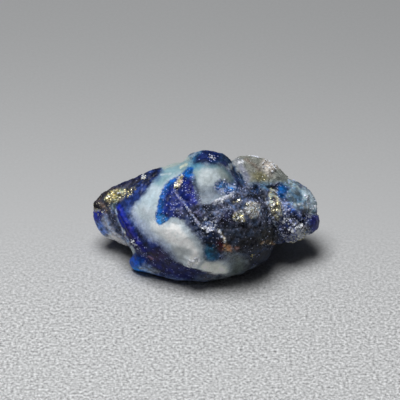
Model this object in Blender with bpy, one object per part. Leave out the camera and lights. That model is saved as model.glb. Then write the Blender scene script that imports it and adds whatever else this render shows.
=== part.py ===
"""Afghanite specimen: one rough blue and white stone, 32 mm long, that rests on a flat spot.

Blender 4.5, metres, +Z up. The origin is on the floor under the middle of the stone, and the
stone's display side faces -Y. Its lumps are convex shapes around named points, grown together
into one skin. That skin is then worn, ridged, grooved and pitted, and cut flat where it rests.
"""

import math

import bmesh
import bpy
import numpy as np
from mathutils import Vector, noise

MM = 0.001

# The stone's length from its nose to its knob, in millimetres, which sets its size
LENGTH = 32.2

# The display side is seen from this far above level, with its middle at this height and depth
VIEW_TILT = math.radians(35)
MIDDLE_HEIGHT = 8.0
MIDDLE_DEPTH = -1.0

# The skin: the width of its faces, how far wear takes the edges back, and its lumps and grains
SKIN_STEP = 0.36
JOIN_WEAR_PASSES = 9
LAST_WEAR_PASSES = 1
WEAR_LOSS = 0.17
LUMP_SIZE = 3.6
LUMP_HEIGHT = 0.16
GRAIN_SIZE = 1.4
GRAIN_HEIGHT = 0.3
MOST_TRIANGLES = 9600

# The stone's plain colour and polish
LAPIS_BLUE = (0.03, 0.06, 0.24, 1.0)
POLISH_ROUGHNESS = 0.32


def seen(across, up, out):
    """A point placed as someone sees it who looks down on the display side, in millimetres."""
    y = MIDDLE_DEPTH + up * math.sin(VIEW_TILT) - out * math.cos(VIEW_TILT)
    z = MIDDLE_HEIGHT + up * math.cos(VIEW_TILT) + out * math.sin(VIEW_TILT)
    return Vector((across, y, z))


def placed(x, y, z):
    """A point of the back or the underside, from the origin, in millimetres."""
    return Vector((x, y, z))


def body_points():
    """The main mass: its top edge, sharp left ridge, swollen front, lower lip and back."""
    top_edge = [
        seen(-13.0, 3.9, -2.6),
        seen(-10.9, 5.0, -2.0),
        seen(-8.7, 5.95, -1.3),
        seen(-5.5, 6.6, -0.1),
        seen(-4.1, 7.05, 0.4),
        seen(-2.4, 7.5, 0.8),
        seen(3.6, 7.4, -0.2),
        seen(8.0, 4.6, -1.0),
        seen(9.6, 2.6, -1.6),
    ]
    left_ridge = [
        seen(-13.3, 1.7, -1.8),
        seen(-12.8, 0.1, -0.7),
        seen(-11.9, -1.9, 0.1),
        seen(-10.9, -4.1, 0.4),
        seen(-10.0, -5.5, 0.2),
    ]
    front = [
        seen(-9.3, 1.6, 2.2),
        seen(-6.0, 2.6, 4.0),
        seen(-2.0, 3.6, 5.3),
        seen(-5.6, -1.6, 5.4),
        seen(-1.5, -2.8, 6.2),
        seen(2.6, -3.8, 5.8),
        seen(7.6, -3.2, 3.4),
        seen(-4.6, -4.4, 4.8),
        seen(-1.2, -5.4, 5.1),
        seen(2.8, -6.2, 4.1),
    ]
    lip = [
        seen(-7.8, -5.0, 2.7),
        seen(-4.2, -6.7, 3.1),
        seen(-0.7, -7.6, 2.6),
        seen(2.8, -7.8, 1.8),
        seen(7.2, -6.4, 1.0),
    ]
    bottom_edge = [
        seen(-8.6, -7.9, -1.6),
        seen(-6.4, -8.45, -0.6),
        seen(-4.1, -9.05, 0.0),
        seen(-1.9, -9.3, 0.2),
        seen(0.4, -9.25, 0.3),
        seen(2.6, -8.9, 0.2),
        seen(4.9, -8.25, 0.1),
        seen(7.2, -7.25, -0.5),
        seen(9.5, -5.65, -1.4),
    ]
    back = [
        placed(-9.5, 6.2, 9.0),
        placed(-4.0, 7.6, 11.0),
        placed(2.5, 7.6, 11.0),
        placed(8.0, 6.6, 8.0),
        placed(-9.0, 6.0, 3.0),
        placed(-2.0, 7.2, 4.0),
        placed(5.5, 7.0, 3.6),
        placed(-5.4, 3.4, -0.4),
        placed(0.0, 4.4, -0.5),
        placed(4.6, 3.0, -0.4),
        placed(-7.6, -1.6, -0.4),
        placed(-3.0, -3.8, -0.4),
        placed(2.4, -3.8, -0.4),
        placed(5.4, -1.0, -0.4),
    ]
    return top_edge + left_ridge + front + lip + bottom_edge + back


def nose_points():
    """The blunt left end, which stands clear of the floor behind the left ridge."""
    outline = [
        seen(-16.2, 0.0, -4.2),
        seen(-16.0, 1.7, -4.0),
        seen(-14.7, 3.0, -3.4),
        seen(-12.9, 4.0, -2.8),
        seen(-10.0, 5.1, -2.2),
        seen(-15.9, -1.1, -4.8),
        seen(-15.4, -2.0, -5.4),
        seen(-14.9, -2.9, -6.2),
        seen(-13.6, -3.2, -6.6),
        seen(-12.05, -3.7, -6.6),
        seen(-10.5, -4.5, -6.2),
    ]
    front = [
        seen(-13.4, 1.6, -1.8),
        seen(-14.8, 0.2, -2.4),
        seen(-13.2, -1.4, -2.4),
        seen(-9.5, -3.0, -1.5),
    ]
    back = [
        placed(-15.0, 5.0, 6.2),
        placed(-12.5, 6.2, 8.0),
        placed(-12.8, 6.0, 3.4),
        placed(-9.0, 5.6, 2.0),
        placed(-9.0, 5.4, 9.2),
    ]
    return outline + front + back


def foot_points():
    """The small knob at the left end of the bottom edge, under the step in the ridge."""
    return [
        seen(-10.75, -6.3, -1.9),
        seen(-10.7, -7.0, -2.2),
        seen(-10.2, -7.7, -2.5),
        seen(-10.1, -6.0, -0.6),
        seen(-8.8, -5.9, 0.8),
        seen(-9.4, -7.2, -0.4),
        seen(-7.0, -8.3, -1.4),
        seen(-6.0, -6.6, 1.2),
        seen(-7.5, -8.2, -2.3),
        placed(-9.0, -1.0, 0.0),
        placed(-6.0, -2.0, -0.6),
        placed(-7.0, -0.5, 3.0),
    ]


def dome_points():
    """The dome, whose round cap is the stone's highest point."""
    cap = [
        seen(-3.0, 7.6, 0.6),
        seen(-1.4, 8.65, 1.2),
        seen(-0.3, 9.25, 1.4),
        seen(1.0, 9.15, 1.2),
        seen(2.2, 8.8, 0.8),
        seen(3.4, 8.0, 0.2),
        seen(-2.2, 7.1, 3.0),
        seen(0.2, 7.7, 3.7),
        seen(2.5, 6.9, 3.2),
        seen(4.2, 6.2, 1.6),
    ]
    front = [
        seen(-2.6, 5.0, 4.5),
        seen(0.4, 5.1, 5.3),
        seen(3.0, 4.6, 4.7),
        seen(4.7, 4.6, 2.8),
        seen(-1.8, 2.4, 5.4),
        seen(0.8, 2.2, 5.9),
        seen(3.2, 2.4, 5.4),
    ]
    back = [
        placed(-2.0, 4.8, 14.8),
        placed(1.6, 5.2, 14.4),
        placed(0.0, 3.0, 9.0),
    ]
    return cap + front + back


def dark_mass_points():
    """The rough swelling right of the middle, with a ledge along its upper edge."""
    ledge = [
        seen(-2.2, 1.7, 5.9),
        seen(1.2, 1.9, 6.5),
        seen(4.0, 2.9, 5.8),
        seen(5.6, 3.3, 4.6),
        seen(7.6, 3.0, 2.6),
    ]
    swelling = [
        seen(3.6, 0.6, 7.1),
        seen(6.6, 0.6, 5.5),
        seen(8.4, 0.4, 3.4),
        seen(0.0, -1.8, 6.8),
        seen(3.4, -2.4, 6.8),
        seen(7.4, -2.4, 4.8),
        seen(9.8, -3.8, 1.4),
        seen(2.4, -4.6, 5.8),
        seen(6.8, -5.0, 3.4),
    ]
    return ledge + swelling + [seen(3.0, 0.0, 0.0)]


def right_block_points():
    """The granular right end, parted from the body by a groove, with a knob at its corner."""
    outline = [
        seen(11.5, 5.4, -3.2),
        seen(13.5, 4.45, -3.3),
        seen(14.9, 3.55, -3.7),
        seen(15.8, 2.5, -3.8),
        seen(16.1, 1.0, -3.6),
        seen(16.25, -0.6, -3.6),
        seen(15.75, -2.15, -3.7),
        seen(13.9, -2.75, -3.9),
        seen(12.3, -3.6, -3.4),
        seen(10.8, -4.4, -2.9),
    ]
    front = [
        seen(9.4, 4.4, -0.9),
        seen(9.8, 1.2, 1.3),
        seen(10.4, -2.6, 0.6),
        seen(12.2, 2.8, 0.0),
        seen(13.6, 0.6, 0.1),
        seen(14.4, -1.6, -0.9),
    ]
    back = [
        placed(13.2, 5.6, 8.8),
        placed(9.0, 6.4, 10.0),
        placed(14.0, 5.8, 5.4),
        placed(9.6, 6.0, 2.6),
        placed(7.0, 3.0, 4.0),
    ]
    return outline + front + back


def grey_crystal_points():
    """The clear grey lump that shows over the right shoulder and runs down the back."""
    return [
        seen(3.6, 7.9, -2.6),
        seen(4.6, 8.4, -3.4),
        seen(6.0, 8.5, -3.6),
        seen(7.4, 8.3, -3.8),
        seen(9.3, 7.75, -4.0),
        seen(10.5, 6.95, -3.9),
        seen(11.6, 5.8, -3.6),
        seen(5.0, 5.6, 1.4),
        seen(7.4, 4.6, 1.6),
        seen(9.6, 4.6, 0.2),
        placed(4.5, 7.9, 11.2),
        placed(9.6, 7.4, 10.2),
        placed(4.8, 8.2, 5.4),
        placed(9.0, 7.8, 4.6),
        placed(7.0, 4.0, 6.0),
    ]


def saddle_points():
    """The low ground where the dome, the dark mass, the crystal and the right block meet."""
    return [
        seen(4.4, 5.4, 2.9),
        seen(5.6, 5.2, 2.4),
        seen(3.6, 3.9, 4.6),
        seen(5.6, 3.8, 3.6),
        seen(6.6, 4.7, 2.3),
        seen(8.2, 4.2, 1.9),
        seen(9.6, 3.4, 1.2),
        seen(9.9, 0.4, 1.9),
        seen(10.4, -2.4, 1.1),
        seen(10.3, -4.3, -0.8),
        seen(6.0, 0.0, 3.0),
        placed(6.0, 3.0, 8.0),
        placed(9.0, 3.0, 6.0),
        placed(8.0, 1.0, 2.6),
    ]


def back_shoulder_points():
    """A low angular shoulder on the back, whose flat top is a ledge."""
    return [
        placed(-10.6, 6.0, 6.6),
        placed(-6.5, 8.2, 7.4),
        placed(-1.0, 8.4, 6.4),
        placed(-9.4, 6.4, 3.0),
        placed(-6.0, 7.2, 2.2),
        placed(0.2, 7.4, 2.4),
        placed(-8.0, 2.0, 2.0),
        placed(-4.0, 2.0, 6.4),
    ]


LUMPS = {
    "body": body_points,
    "nose": nose_points,
    "foot": foot_points,
    "dome": dome_points,
    "dark_mass": dark_mass_points,
    "right_block": right_block_points,
    "grey_crystal": grey_crystal_points,
    "saddle": saddle_points,
    "back_shoulder": back_shoulder_points,
}


def clear_scene():
    for obj in list(bpy.data.objects):
        bpy.data.objects.remove(obj, do_unlink=True)


def linked(name, mesh):
    obj = bpy.data.objects.new(name, mesh)
    bpy.context.scene.collection.objects.link(obj)
    return obj


def convex_guide(name, points):
    """A closed convex lump around the given points, kept as a hidden guide."""
    shape = bmesh.new()
    for point in points:
        shape.verts.new(point * MM)
    hull = bmesh.ops.convex_hull(shape, input=shape.verts)
    inside = set(hull["geom_interior"] + hull["geom_unused"])
    corners = [part for part in inside if isinstance(part, bmesh.types.BMVert)]
    bmesh.ops.delete(shape, geom=corners, context="VERTS")
    bmesh.ops.recalc_face_normals(shape, faces=shape.faces)
    mesh = bpy.data.meshes.new(name)
    shape.to_mesh(mesh)
    shape.free()
    guide = linked(name, mesh)
    guide.hide_render = True
    guide.display_type = "WIRE"
    return guide


def settle(obj):
    """Makes what the modifiers give the object's own mesh."""
    bpy.context.view_layer.update()
    graph = bpy.context.evaluated_depsgraph_get()
    mesh = bpy.data.meshes.new_from_object(obj.evaluated_get(graph))
    obj.modifiers.clear()
    obj.data = mesh


def reskinned(stone, wear_passes):
    """Gives the stone one closed skin of even faces, with its edges worn round."""
    skin = stone.modifiers.new("even_skin", "REMESH")
    skin.mode = "VOXEL"
    skin.voxel_size = SKIN_STEP * MM
    wear = stone.modifiers.new("worn_edges", "SMOOTH")
    wear.factor = 0.5
    wear.iterations = wear_passes
    settle(stone)


def grown_together():
    """All lumps joined where they overlap."""
    guides = [convex_guide("guide_" + name, points()) for name, points in LUMPS.items()]
    stone = linked("afghanite_stone", guides[0].data.copy())
    for guide in guides[1:]:
        join = stone.modifiers.new("join_" + guide.name, "BOOLEAN")
        join.operation = "UNION"
        join.object = guide
    settle(stone)
    return stone


def vectors(items, attribute):
    flat = np.empty(len(items) * 3, np.float32)
    items.foreach_get(attribute, flat)
    return flat.reshape(-1, 3).astype(float)


def distance_to_path(across, up, path):
    """How far each place on the display side lies from a path drawn there."""
    nearest = np.full(len(across), np.inf)
    for (a, b), (c, d) in zip(path, path[1:]):
        run = np.array((c - a, d - b))
        along = ((across - a) * run[0] + (up - b) * run[1]) / (run @ run)
        along = np.clip(along, 0, 1)
        gap = np.hypot(across - a - along * run[0], up - b - along * run[1])
        nearest = np.minimum(nearest, gap)
    return nearest


def bell(distance, width):
    return np.exp(-((distance / width) ** 2))


def swell(across, up, middle, reach, tilt=0.0):
    """A soft oval bump, 1 at its middle."""
    turn = math.radians(tilt)
    along = (across - middle[0]) * math.cos(turn) + (up - middle[1]) * math.sin(turn)
    over = (up - middle[1]) * math.cos(turn) - (across - middle[0]) * math.sin(turn)
    return np.exp(-((along / reach[0]) ** 2) - (over / reach[1]) ** 2)


def display_relief(across, up):
    """How far the display side stands proud of its lumps, in millimetres."""
    left_ridge = [(-13.1, 1.8), (-12.3, -1.7), (-10.5, -4.2), (-9.1, -5.8)]
    foot_notch = [(-10.8, -4.9), (-9.6, -5.4), (-8.4, -5.8)]
    shoulder_valley = [(3.0, 8.1), (4.4, 6.5), (5.4, 4.6), (6.6, 3.6)]
    ledge = [(-1.4, 1.8), (0.2, 2.0), (2.4, 2.3), (3.9, 3.4)]
    vein = [(-3.8, 3.2), (-2.7, 1.1), (-1.3, -0.3), (-0.3, -1.6), (1.5, -2.1), (3.0, -4.0)]
    groove = [(7.5, 4.0), (8.6, 2.1), (9.5, -0.4), (10.9, -4.0)]
    lower_fold = [(-9.0, -5.6), (-5.6, -6.2), (-2.0, -6.9), (0.6, -7.6)]
    relief = 0.22 * bell(distance_to_path(across, up, left_ridge), 0.7)
    relief -= 0.45 * bell(distance_to_path(across, up, foot_notch), 0.5)
    relief -= 0.25 * bell(distance_to_path(across, up, shoulder_valley), 0.6)
    relief += 0.22 * bell(distance_to_path(across, up, ledge), 0.5)
    relief -= 0.28 * bell(distance_to_path(across, up, vein), 0.4)
    relief -= 0.6 * bell(distance_to_path(across, up, groove), 0.6)
    relief -= 0.2 * bell(distance_to_path(across, up, lower_fold), 0.6)
    relief -= 0.4 * swell(across, up, (0.5, -0.8), (0.9, 0.7))
    relief -= 0.35 * swell(across, up, (2.6, 4.2), (1.4, 0.8), 20)
    relief += 0.3 * swell(across, up, (5.6, 1.0), (1.7, 1.3))
    relief += 0.4 * swell(across, up, (9.3, 0.9), (0.5, 1.8), 0)
    relief += 0.35 * swell(across, up, (12.9, 2.4), (1.5, 1.1))
    relief += 0.35 * swell(across, up, (15.3, -1.0), (0.9, 1.0))
    relief -= 0.35 * swell(across, up, (14.2, 0.1), (0.4, 1.4), -30)
    relief += 0.3 * swell(across, up, (11.6, -2.2), (1.3, 0.9))
    relief -= 0.3 * swell(across, up, (10.6, 4.7), (0.5, 1.2), 30)
    relief += 0.25 * swell(across, up, (-4.1, 4.6), (0.9, 1.2))
    relief += 0.25 * swell(across, up, (-12.8, 2.8), (1.6, 0.5), 35)
    return relief


def back_relief(x, z):
    """The same for the back, which has two cracks and some scars where chips came off."""
    crack = [(-8.0, 10.0), (-5.4, 7.4), (-4.6, 4.0), (-2.8, 1.0)]
    crystal_seam = [(3.6, 13.6), (4.0, 9.0), (3.2, 4.6), (4.4, 1.2)]
    relief = -0.5 * bell(distance_to_path(x, z, crack), 0.5)
    relief -= 0.6 * bell(distance_to_path(x, z, crystal_seam), 0.6)
    relief -= 0.5 * swell(x, z, (-0.6, 10.4), (1.9, 1.2), 30)
    relief -= 0.45 * swell(x, z, (10.8, 6.6), (1.1, 1.8), -20)
    relief -= 0.4 * swell(x, z, (-12.0, 6.0), (1.2, 0.9))
    relief += 0.4 * swell(x, z, (6.6, 8.4), (1.2, 2.2), 10)
    return relief


def broken_grain(point, size, seed):
    """Uneven ground between -1 and 1 whose lumps are about the given size in millimetres."""
    shifted = point / size + Vector((seed * 7.3, seed * 3.1, seed * 5.7))
    return noise.fractal(shifted, 0.8, 2.1, 3)


def roughness_of(across, up, front):
    """How coarse the surface is, from 0 on the polished dome to 1 on the granular parts."""
    dark = swell(across, up, (5.0, -0.5), (4.2, 3.2))
    block = swell(across, up, (11.8, -0.6), (2.4, 3.6))
    crystal = swell(across, up, (8.0, 6.8), (3.2, 1.6))
    pyrite = swell(across, up, (-12.6, 3.0), (2.4, 0.8), 35)
    named = np.maximum(np.maximum(dark, block), np.maximum(crystal, pyrite))
    return front * named + (1 - front) * 0.8


def sculpt(stone):
    """Moves the skin along its own normals by the relief, the grain and the wear."""
    mesh = stone.data
    places = vectors(mesh.vertices, "co") / MM
    normals = vectors(mesh.vertices, "normal")
    look = np.array((0.0, -math.cos(VIEW_TILT), math.sin(VIEW_TILT)))
    rise = np.array((0.0, math.sin(VIEW_TILT), math.cos(VIEW_TILT)))
    middle = np.array((0.0, MIDDLE_DEPTH, MIDDLE_HEIGHT))
    across = places[:, 0]
    up = (places - middle) @ rise
    front = np.clip(normals @ look * 2.5 + 0.4, 0, 1)
    behind = np.clip(normals[:, 1] * 2.5 - 0.4, 0, 1)
    coarse = roughness_of(across, up, front)
    lumps = np.array([broken_grain(Vector(p), LUMP_SIZE, 1) for p in places])
    grains = np.array([broken_grain(Vector(p), GRAIN_SIZE, 2) for p in places])
    push = WEAR_LOSS + LUMP_HEIGHT * lumps + GRAIN_HEIGHT * grains * coarse
    push += front * display_relief(across, up) + behind * back_relief(across, places[:, 2])
    moved = (places + normals * push[:, None]) * MM
    mesh.vertices.foreach_set("co", moved.astype(np.float32).ravel())
    mesh.update()


def thinned(stone):
    """Fewer, larger faces where the stone is plain."""
    thin = stone.modifiers.new("plain_faces_merged", "DECIMATE")
    stone.data.calc_loop_triangles()
    thin.ratio = MOST_TRIANGLES / len(stone.data.loop_triangles)
    settle(stone)


def cut_flat(stone):
    """Cuts off what lies under the floor and closes the cut with one flat face."""
    shape = bmesh.new()
    shape.from_mesh(stone.data)
    everything = shape.verts[:] + shape.edges[:] + shape.faces[:]
    floor, up = (0, 0, 0), (0, 0, 1)
    cut = bmesh.ops.bisect_plane(shape, geom=everything, plane_co=floor, plane_no=up, clear_inner=True)
    rim = [part for part in cut["geom_cut"] if isinstance(part, bmesh.types.BMEdge)]
    bmesh.ops.holes_fill(shape, edges=rim, sides=0)
    bmesh.ops.triangulate(shape, faces=shape.faces)
    bmesh.ops.recalc_face_normals(shape, faces=shape.faces)
    shape.to_mesh(stone.data)
    shape.free()


def centred_at_full_length(stone):
    """Sets the stone to its length, over the origin."""
    places = vectors(stone.data.vertices, "co")
    low, high = places.min(axis=0), places.max(axis=0)
    base_middle = np.array(((low[0] + high[0]) / 2, (low[1] + high[1]) / 2, low[2]))
    placed_over = (places - base_middle) * (LENGTH * MM / (high[0] - low[0]))
    stone.data.vertices.foreach_set("co", placed_over.astype(np.float32).ravel())
    stone.data.update()


def finish(stone):
    stone.data.shade_smooth()
    stone.data.set_sharp_from_angle(angle=math.radians(40))
    lapis = bpy.data.materials.new("lapis_blue_stone")
    lapis.use_nodes = True
    surface = lapis.node_tree.nodes["Principled BSDF"]
    surface.inputs["Base Color"].default_value = LAPIS_BLUE
    surface.inputs["Roughness"].default_value = POLISH_ROUGHNESS
    surface.inputs["Metallic"].default_value = 0.0
    stone.data.materials.clear()
    stone.data.materials.append(lapis)


def main():
    clear_scene()
    stone = grown_together()
    reskinned(stone, JOIN_WEAR_PASSES)
    sculpt(stone)
    reskinned(stone, LAST_WEAR_PASSES)
    thinned(stone)
    cut_flat(stone)
    centred_at_full_length(stone)
    finish(stone)


main()
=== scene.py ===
"""The looks of a loose afghanite specimen: a blue and white stone with pyrite, on pale paper."""

import math

import bmesh
import bpy
import numpy as np
from mathutils import Euler, Matrix, Vector, noise


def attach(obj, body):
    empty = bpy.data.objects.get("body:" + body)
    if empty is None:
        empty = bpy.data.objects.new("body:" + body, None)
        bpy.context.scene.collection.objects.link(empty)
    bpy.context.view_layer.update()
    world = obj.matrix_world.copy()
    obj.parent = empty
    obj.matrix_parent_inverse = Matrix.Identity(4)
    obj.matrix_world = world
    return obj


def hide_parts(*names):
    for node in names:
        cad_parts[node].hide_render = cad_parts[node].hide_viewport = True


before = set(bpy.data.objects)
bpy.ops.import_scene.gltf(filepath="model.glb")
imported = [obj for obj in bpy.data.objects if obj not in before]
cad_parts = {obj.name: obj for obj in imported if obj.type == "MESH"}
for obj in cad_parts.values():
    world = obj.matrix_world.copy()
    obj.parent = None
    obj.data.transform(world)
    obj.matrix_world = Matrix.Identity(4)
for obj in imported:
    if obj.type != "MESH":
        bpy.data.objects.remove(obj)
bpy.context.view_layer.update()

# The view. It looks down on the display side of the stone through a long lens, so that a
# pixel of the photo covers nearly the same width all over the stone.
MM = 0.001
VIEW_TILT = math.radians(35)
VIEW_DISTANCE = 0.45
PIXEL = 0.1414 * MM
PHOTO_WIDTH = 400
SENSOR = 36.0
STONE_MIDDLE = Vector((0.0, -1.02, 7.99)) * MM
STONE_MIDDLE_PIXEL = (206.0, 215.7)

view_right = Vector((1, 0, 0))
view_up = Vector((0, math.sin(VIEW_TILT), math.cos(VIEW_TILT)))
view_back = Vector((0, -math.cos(VIEW_TILT), math.sin(VIEW_TILT)))
frame_middle = (
    STONE_MIDDLE
    + view_right * (PHOTO_WIDTH / 2 - STONE_MIDDLE_PIXEL[0]) * PIXEL
    - view_up * (PHOTO_WIDTH / 2 - STONE_MIDDLE_PIXEL[1]) * PIXEL
)


def placed(name, data):
    """A new object in the scene."""
    made = bpy.data.objects.new(name, data)
    bpy.context.scene.collection.objects.link(made)
    return made


camera = placed("photo_view", bpy.data.cameras.new("photo_view"))
bpy.context.scene.camera = camera
camera.location = frame_middle + view_back * VIEW_DISTANCE
camera.rotation_euler = (math.pi / 2 - VIEW_TILT, 0, 0)
camera.data.sensor_width = SENSOR
camera.data.lens = SENSOR * VIEW_DISTANCE / (PHOTO_WIDTH * PIXEL)
camera.data.clip_start = 0.01
camera.data.clip_end = 10


# The stone. It is one natural piece: blue afghanite and lazurite in dark rock, a band and a
# dome of white calcite, and a lump of grey crystal. Tumbling has polished its high ground and
# left the dark rock, the right end and the crystal granular.
SKIN_STEP = 0.146 * MM
SKIN_SMOOTHING = 6
LONG_AXIS = (0.5, 7.0)
RAY_START = 0.05 * MM
BLEND_STEPS = 48
BLEND_RAGGED = 0.08
BLEND_RISE = (0.55, 0.95)
FLAT_BELOW = 0.6
GRAIN_REACH = 0.42
DISPLAY_STRAYS = [(2.4, 1.2), (0.8, 0.9), (0.35, 0.7)]
HIDDEN_STRAYS = [(3.0, 5.0), (0.9, 2.0)]


def fine_skin(node_name, name):
    """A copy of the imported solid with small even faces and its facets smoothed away."""
    skin = placed(name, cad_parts[node_name].data.copy())
    finer = skin.modifiers.new("finer", "REMESH")
    finer.mode = "VOXEL"
    finer.voxel_size = SKIN_STEP
    smoother = skin.modifiers.new("smoother", "SMOOTH")
    smoother.factor = 0.5
    smoother.iterations = SKIN_SMOOTHING
    bpy.context.view_layer.update()
    graph = bpy.context.evaluated_depsgraph_get()
    skin.data = bpy.data.meshes.new_from_object(skin.evaluated_get(graph))
    skin.modifiers.clear()
    return skin


def at_corners(attribute):
    """A vector for each corner of the stone's faces."""
    corners = stone.data.vertices
    flat = np.empty(len(corners) * 3, np.float32)
    corners.foreach_get(attribute, flat)
    return flat.reshape(-1, 3).astype(float)


def clouds(places, size, seed):
    """Smooth noise between about -1 and 1, with features of the given size in millimetres."""
    shift = Vector((seed * 5.1, seed * 2.7, seed * 8.3))
    return np.array([noise.fractal(Vector(p) / size + shift, 0.9, 2.0, 2) for p in places])


def crystal_faces(places, size, seed):
    """Heights, in millimetres, of small flat faces that are tilted every way."""
    shift = Vector((seed * 3.3, seed * 6.1, seed * 1.7))
    heights = []
    for p in places:
        spot = Vector(p) / size + shift
        middle = noise.voronoi(spot)[1][0]
        tilt = noise.cell_vector(middle * 9.7) - Vector((0.5, 0.5, 0.5))
        heights.append((spot - middle).dot(tilt) * size)
    return np.array(heights)


def step(value, low, high):
    """0 below low and 1 above high, with a soft rise between."""
    share = np.clip((value - low) / (high - low), 0, 1)
    return share * share * (3 - 2 * share)


def rounded(points, closed):
    """A path or outline with its corners cut, twice over, so that it bends like a curve."""
    for _ in range(2):
        following = points[1:] + points[:1] if closed else points[1:]
        cut = []
        for (a, b), (c, d) in zip(points, following):
            cut.append((0.75 * a + 0.25 * c, 0.75 * b + 0.25 * d))
            cut.append((0.25 * a + 0.75 * c, 0.25 * b + 0.75 * d))
        points = cut if closed else [points[0], *cut, points[-1]]
    return points


class Side:
    """One side of the stone, laid flat as a drawing in pixels of the photo.

    Its lines stray by some pixels, in waves of some millimetres, as grown minerals do.
    """

    def __init__(self, across, down, places, strays):
        self.across = across
        self.down = down
        for seed, (wave, pixels) in enumerate(strays):
            self.across = self.across + pixels * clouds(places, wave, 10 + seed)
            self.down = self.down + pixels * clouds(places, wave, 20 + seed)

    def gap(self, path):
        """How far each place lies from a path."""
        nearest = np.full(len(self.across), np.inf)
        for (a, b), (c, d) in zip(path, path[1:]):
            run = np.array((c - a, d - b), float)
            along = ((self.across - a) * run[0] + (self.down - b) * run[1]) / (run @ run)
            along = np.clip(along, 0, 1)
            away = np.hypot(self.across - a - along * run[0], self.down - b - along * run[1])
            nearest = np.minimum(nearest, away)
        return nearest

    def depth(self, outline):
        """How far inside a closed outline each place lies, less than 0 outside it."""
        inside = np.zeros(len(self.across), bool)
        for (a, b), (c, d) in zip(outline, outline[1:] + outline[:1]):
            if b != d:
                crosses = (b > self.down) != (d > self.down)
                inside ^= crosses & (self.across < a + (self.down - b) * (c - a) / (d - b))
        rim = self.gap(outline + outline[:1])
        return np.where(inside, rim, -rim)

    def cover(self, fade, points, half_width=None):
        """How much of each place a patch takes, 0 to 1, or a vein if it has a half width."""
        points = rounded(points, not half_width)
        depth = half_width - self.gap(points) if half_width else self.depth(points)
        return step(depth / fade, -1, 1)

    def painted(self, base, rows):
        """Patches and veins laid one over the other: value, fade, points and a half width."""
        field = np.tile(np.array(base, float), (len(self.across), 1))
        for value, *patch in rows:
            share = self.cover(*patch)[:, None]
            field = field * (1 - share) + np.array(value, float) * share
        return field


def paint(red, green, blue):
    """A colour as a paint card gives it, 0 to 255, made linear."""
    return tuple((c / 255) ** 2.2 for c in (red, green, blue))


def opaque(red, green, blue):
    """The same as a shader's colour socket takes it."""
    return paint(red, green, blue) + (1.0,)


stone = fine_skin("afghanite_stone", "afghanite")
places = at_corners("co")
normals = at_corners("normal")
in_mm = places / MM

from_camera = places - np.array(camera.location)
distance = -from_camera @ np.array(view_back)
magnified = VIEW_DISTANCE / PIXEL / distance
photo_across = PHOTO_WIDTH / 2 + from_camera @ np.array(view_right) * magnified
photo_down = PHOTO_WIDTH / 2 - from_camera @ np.array(view_up) * magnified
display = Side(photo_across, photo_down, in_mm, DISPLAY_STRAYS)

# The far side and the underside are drawn as unrolled round the stone's long axis, in pixels
# along it and in degrees round it: 55 at the crest, 0 at the back and -125 at the lower edge.
# A place belongs to the far side when the stone itself stands between it and the viewer.
around = np.degrees(np.arctan2(in_mm[:, 2] - LONG_AXIS[1], in_mm[:, 1] - LONG_AXIS[0]))
along = STONE_MIDDLE_PIXEL[0] + places[:, 0] / PIXEL
hidden = Side(along, around, in_mm, HIDDEN_STRAYS)
blocked = np.zeros(len(places))
for i, (place, normal) in enumerate(zip(places, normals)):
    blocked[i] = stone.ray_cast(Vector(place + normal * RAY_START), view_back)[0]
blocked = np.maximum(blocked, -normals @ np.array(view_back) > 0)
edges = np.empty(len(stone.data.edges) * 2, np.int32)
stone.data.edges.foreach_get("vertices", edges)
here, there = np.concatenate([edges.reshape(-1, 2), edges.reshape(-1, 2)[:, ::-1]]).T
neighbours = np.bincount(here)
for _ in range(BLEND_STEPS):
    blocked = 0.5 * blocked + 0.5 * np.bincount(here, blocked[there]) / neighbours
ragged = blocked + BLEND_RAGGED * clouds(in_mm, 1.6, 31)
behind = step(ragged, *BLEND_RISE)
hidden_share = behind[:, None]


def both_sides(base, display_rows, hidden_rows):
    """A value or colour at each place, painted on both sides and blended where they meet."""
    front = display.painted(base, display_rows)
    far = hidden.painted(base, hidden_rows)
    return front * (1 - hidden_share) + far * hidden_share


def both_tints(base, *tables):
    """The same for colours, in tables that give them as a paint card does."""
    tables = [[(paint(*tint), *patch) for tint, *patch in rows] for rows in tables]
    return both_sides(paint(*base), *tables)


# Outlines of its parts, as the display side is drawn, and BEHIND, as the far side is.
BAND_TOP = [
    (162, 166), (159.5, 173), (154.5, 180), (146.5, 190), (139, 200), (132.5, 208), (133, 215), (143, 220),
    (153, 223), (166, 222), (176, 214), (180, 200), (186, 186), (190, 172), (194, 165), (190, 155),
    (178, 159), (168, 163)
]
BAND_MIDDLE = [
    (133, 206), (132, 215), (136, 222), (141.5, 229), (148, 236), (156, 242), (164, 248), (171, 254),
    (180, 261), (192, 264), (204, 262), (206, 252), (201, 243), (195, 234), (187, 226), (178, 217),
    (166, 211), (150, 203)
]
BAND_TAIL = [
    (176, 250), (181, 260), (189, 266), (203, 270.5), (215, 273), (223, 274.5), (231, 273), (237, 267),
    (233, 261), (220, 260), (209, 261), (203, 254), (196, 246), (186, 244)
]
DOME = [
    (191, 164), (203, 165), (214, 164), (223, 165), (231, 173), (236, 186), (233, 195), (222, 200),
    (212, 203), (200, 203), (195, 196), (192, 187), (190, 176)
]
TONGUE = [
    (187, 168), (180, 174), (172, 178), (166, 183), (162, 188), (159.5, 195), (158, 203), (156, 211),
    (154, 220), (156.5, 225), (161, 225.5), (166, 222), (171, 217), (178, 217), (186, 220), (194, 214),
    (197, 202), (194, 190), (192.5, 178), (194, 169), (191, 166)
]
CROWN = [(194, 160), (198, 149), (212, 147), (224, 153), (222, 160), (213, 164), (203, 163.5)]
MASS = [
    (196, 205), (212, 204), (221, 201), (230, 197), (236, 189), (250, 184), (262, 186), (268, 200),
    (271, 214), (277, 229), (283, 243), (279, 248), (262, 252), (250, 256), (238, 258), (222, 256),
    (210, 250), (200, 240), (194, 230), (188, 216), (190, 208)
]
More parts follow.
